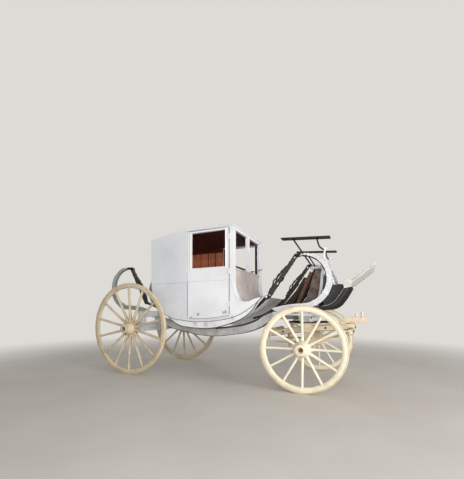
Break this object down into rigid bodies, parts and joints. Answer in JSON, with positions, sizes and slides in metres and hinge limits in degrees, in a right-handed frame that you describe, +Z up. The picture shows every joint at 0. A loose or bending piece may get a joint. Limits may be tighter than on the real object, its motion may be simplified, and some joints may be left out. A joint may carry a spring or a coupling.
{
  "type": "horse drawn coupe carriage",
  "caption": "Closed coupe body hung by leather braces from C springs over a perch, with steering fore carriage, hinged doors and spoked wheels.",
  "frame": {"origin": "on the floor under the middle of the bounding box", "axes": "+X forward along the carriage, +Y to its left, +Z up"},
  "size_m": [3.9281, 1.672, 2.0599],
  "materials": {
    "body_white": "matt primer, chalky",
    "body_grey": "bare primer, grey brown",
    "wood_inner": "bare boards, matt",
    "wheel_cream": "cream paint, worn",
    "wheel_fawn": "fawn paint, worn",
    "tyre_iron": "worn iron",
    "gear_grey": "grey primer, worn",
    "gear_cream": "cream paint, worn",
    "spring_white": "white primer",
    "iron_black": "black iron",
    "strap": "black leather",
    "board_dark": "dark worn board",
    "board_brown": "dark brown boards",
    "board_green": "dark green board",
    "board_grey": "light grey board"
  },
  "bodies": {
    "carriage": {"back_panel": "body_white", "body_loop_front_left": "iron_black", "body_loop_front_right": "iron_black", "body_loop_rear_left": "iron_black", "body_loop_rear_right": "iron_black", "boot_board": "board_brown", "bottom_panel": "body_grey", "brace_front_left": "strap", "brace_front_right": "strap", "brace_rear_left": "strap", "brace_rear_right": "strap", "c_spring_front_left": "spring_white", "c_spring_front_right": "spring_white", "c_spring_rear_left": "spring_white", "c_spring_rear_right": "spring_white", "floor_board": "wood_inner", "footboard": "board_dark", "footboard_cheek_left": "board_green", "footboard_cheek_right": "board_green", "front_frame": "body_white", "front_panel": "body_grey", "front_quarter_left": "body_white", "front_quarter_right": "body_white", "horn_bar": "gear_grey", "kingpin": "iron_black", "perch": "gear_grey", "quarter_panel_left": "body_white", "quarter_panel_right": "body_white", "rear_axle": "gear_grey", "rear_axle_bed": "gear_grey", "rocker_left": "body_white", "rocker_right": "body_white", "roof": "body_white", "seat_bench": "wood_inner", "seat_rail_left": "iron_black", "seat_rail_right": "iron_black", "seat_standard_left": "spring_white", "seat_standard_right": "spring_white", "toe_board": "board_grey", "transom": "gear_grey", "wheel_plate_upper": "gear_grey"},
    "fore_carriage": {"wheel_plate_lower": "gear_cream", "front_axle": "gear_cream", "front_axle_bed": "gear_cream", "futchells": "gear_cream", "splinter_bar": "gear_cream", "pole_head": "gear_cream", "sway_bar": "gear_cream"},
    "door_right_body": {"door_right": "body_white"},
    "front_wheel_right": {"wheel_front_right": "wheel_cream", "tyre_front_right": "tyre_iron"},
    "rear_wheel_right": {"wheel_rear_right": "wheel_fawn", "tyre_rear_right": "tyre_iron"},
    "door_left_body": {"door_left": "body_white"},
    "front_wheel_left": {"wheel_front_left": "wheel_cream", "tyre_front_left": "tyre_iron"},
    "rear_wheel_left": {"wheel_rear_left": "wheel_fawn", "tyre_rear_left": "tyre_iron"}
  },
  "joints": [
    {"name": "fore_carriage_steer", "type": "hinge", "parent": "carriage", "child": "fore_carriage", "pos_m": [1.209, 0, 0.76], "axis": [0, 0, 1], "range_deg": [-30, 30]},
    {"name": "door_right_hinge", "type": "hinge", "parent": "carriage", "child": "door_right_body", "pos_m": [0.2595, -0.593, 1.44], "axis": [0, 0, 1], "range_deg": [0, 85]},
    {"name": "front_wheel_right_spin", "type": "hinge", "parent": "fore_carriage", "child": "front_wheel_right", "pos_m": [1.209, -0.66, 0.492], "axis": [0, 1, 0], "continuous": true},
    {"name": "rear_wheel_right_spin", "type": "hinge", "parent": "carriage", "child": "rear_wheel_right", "pos_m": [-1.298, -0.691, 0.6665], "axis": [0, 1, 0], "continuous": true},
    {"name": "door_left_hinge", "type": "hinge", "parent": "carriage", "child": "door_left_body", "pos_m": [0.2595, 0.593, 1.44], "axis": [0, 0, -1], "range_deg": [0, 85]},
    {"name": "front_wheel_left_spin", "type": "hinge", "parent": "fore_carriage", "child": "front_wheel_left", "pos_m": [1.209, 0.66, 0.492], "axis": [0, 1, 0], "continuous": true},
    {"name": "rear_wheel_left_spin", "type": "hinge", "parent": "carriage", "child": "rear_wheel_left", "pos_m": [-1.298, 0.691, 0.6665], "axis": [0, 1, 0], "continuous": true}
  ]
}
